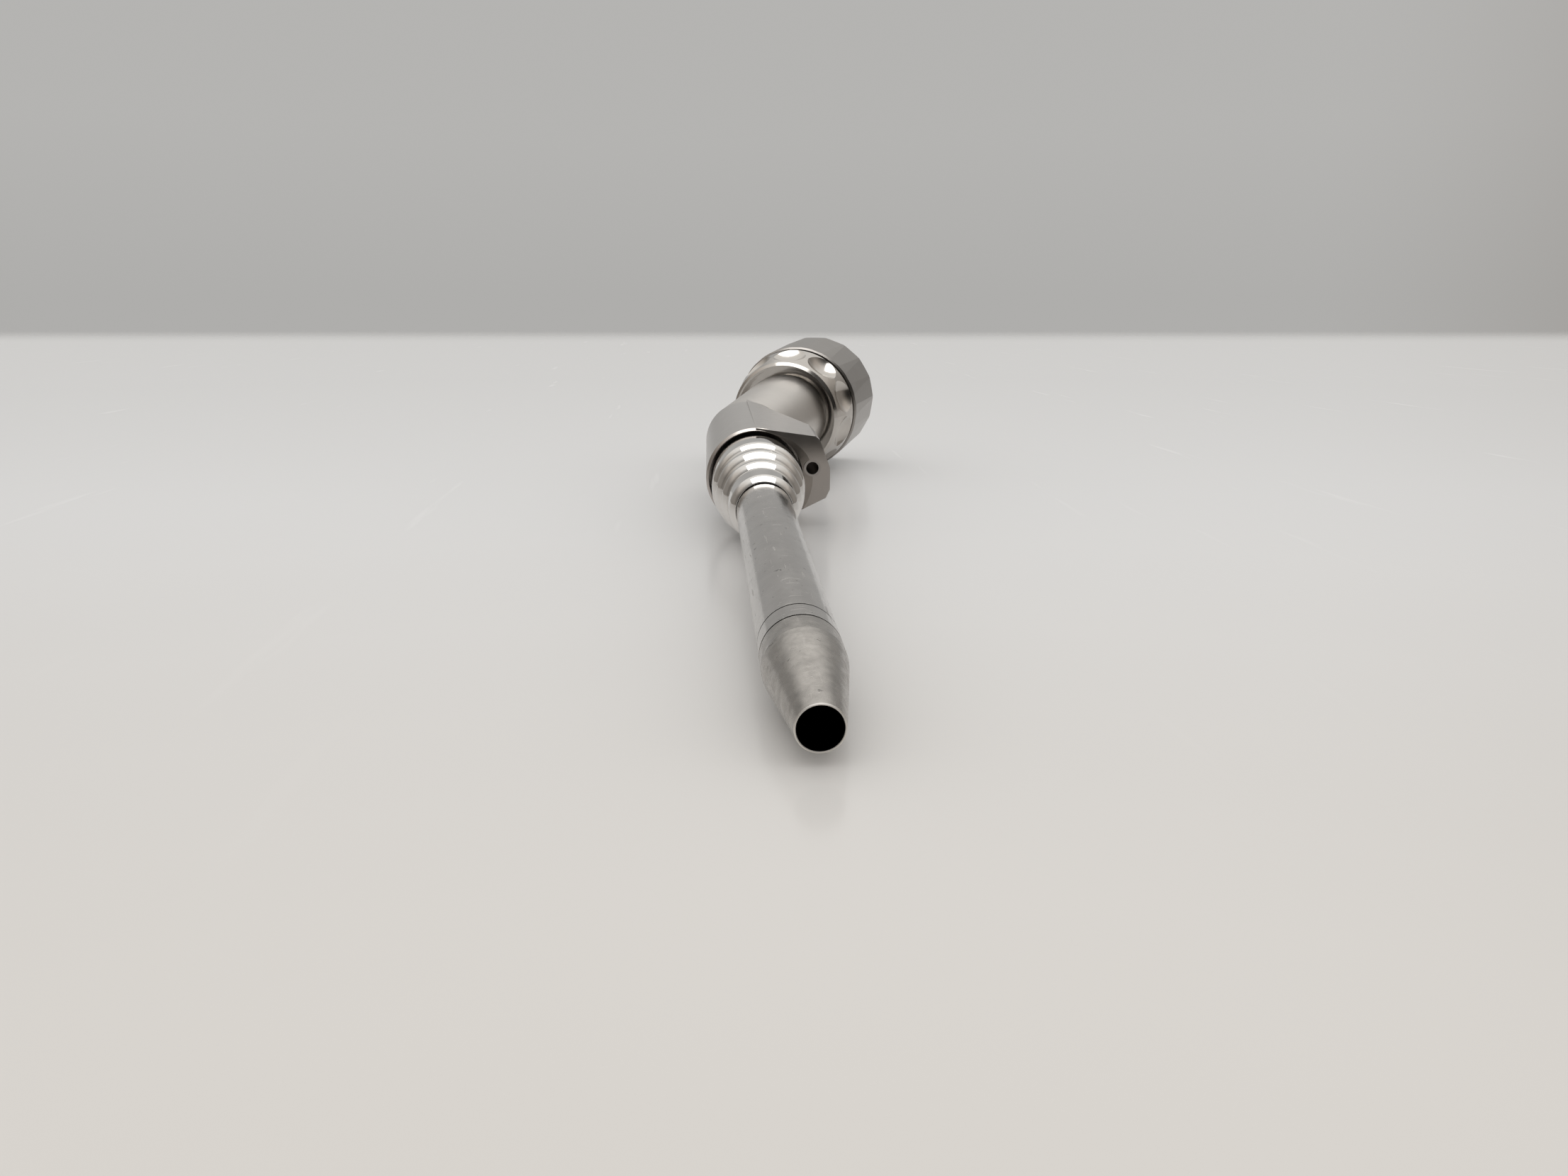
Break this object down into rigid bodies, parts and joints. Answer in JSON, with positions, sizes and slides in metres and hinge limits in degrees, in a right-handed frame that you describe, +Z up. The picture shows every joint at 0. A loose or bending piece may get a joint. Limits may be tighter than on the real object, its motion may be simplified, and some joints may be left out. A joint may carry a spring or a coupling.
{
  "type": "angled surgical handpiece head",
  "caption": "Angled all-steel surgical handpiece head with a collet nose, twist lock sleeve, spray port, internal bevel gears and a rear motor socket.",
  "frame": {"origin": "centre of the bounding box at its base, on the surface that the part lies on", "axes": "+Z up, +Y level along the nose from its mouth to the bend, +X to the side that the tail bends towards"},
  "size_m": [0.0336, 0.1652, 0.0239],
  "materials": {
    "satin_steel": "satin blasted stainless steel",
    "polished_steel": "polished stainless steel",
    "inner_steel": "turned stainless steel",
    "bearing_steel": "ground bearing steel",
    "seal_rubber": "black seal rubber"
  },
  "bodies": {
    "body": {"elbow_housing": "satin_steel", "neck": "satin_steel", "barrel": "satin_steel", "nose_cap": "satin_steel", "nose_band": "satin_steel", "nose_bearing_outer_race": "bearing_steel", "nose_bearing_balls": "bearing_steel", "mid_bearing_outer_race": "bearing_steel", "mid_bearing_balls": "bearing_steel", "sleeve_stop_pin": "bearing_steel", "port_bush": "polished_steel", "bearing_nut": "bearing_steel", "drive_bearing_outer_race": "bearing_steel", "drive_bearing_balls": "bearing_steel", "tail_bearing_outer_race": "bearing_steel", "tail_bearing_balls": "bearing_steel", "collar_stop_pin": "bearing_steel", "collar_clip": "inner_steel", "rear_ring": "polished_steel", "index_pin": "bearing_steel", "socket_liner": "inner_steel", "socket_seal_1": "seal_rubber", "socket_seal_2": "seal_rubber"},
    "spindle": {"spindle": "inner_steel", "spindle_gear": "inner_steel", "nose_bearing_inner_race": "bearing_steel", "mid_bearing_inner_race": "bearing_steel"},
    "chuck": {"collet": "inner_steel", "drawbar": "inner_steel"},
    "lock_sleeve": {"lock_sleeve": "polished_steel", "sleeve_seal": "seal_rubber"},
    "cam": {"cam_ring": "inner_steel", "cam_pin": "bearing_steel", "thrust_sleeve": "inner_steel"},
    "drive_shaft": {"drive_shaft": "inner_steel", "drive_gear": "inner_steel", "drive_dog": "inner_steel", "drive_bearing_inner_race": "bearing_steel", "tail_bearing_inner_race": "bearing_steel"},
    "collar": {"scalloped_collar": "polished_steel"}
  },
  "joints": [
    {"name": "drive_spin", "type": "hinge", "parent": "body", "child": "drive_shaft", "pos_m": [-0.00983, 0.0346, 0.00861], "axis": [0.3408, 0.9363, 0.0854], "continuous": true},
    {"name": "spindle_spin", "type": "hinge", "parent": "body", "child": "spindle", "pos_m": [-0.00983, 0.0346, 0.00861], "axis": [0, 0.9988, 0.048], "continuous": true},
    {"name": "lock_twist", "type": "hinge", "parent": "body", "child": "lock_sleeve", "pos_m": [-0.00983, -0.00265, 0.00682], "axis": [0, 0.9988, 0.048], "range_deg": [0, 45]},
    {"name": "cam_slide", "type": "slide", "parent": "body", "child": "cam", "axis": [0, 0.9988, 0.048], "range_m": [0, 0.00101]},
    {"name": "collet_draw", "type": "slide", "parent": "spindle", "child": "chuck", "axis": [0, 0.9988, 0.048], "range_m": [0, 0.00101]},
    {"name": "collar_twist", "type": "hinge", "parent": "body", "child": "collar", "pos_m": [-0.00063, 0.05988, 0.01091], "axis": [0.3408, 0.9363, 0.0854], "range_deg": [0, 30]}
  ],
  "couplings": [
    {"joint": "spindle_spin", "follows": "drive_spin", "ratio": 1},
    {"joint": "cam_slide", "follows": "lock_twist", "m_per_rad": 0.0012732},
    {"joint": "collet_draw", "follows": "lock_twist", "m_per_rad": 0.0012732}
  ]
}
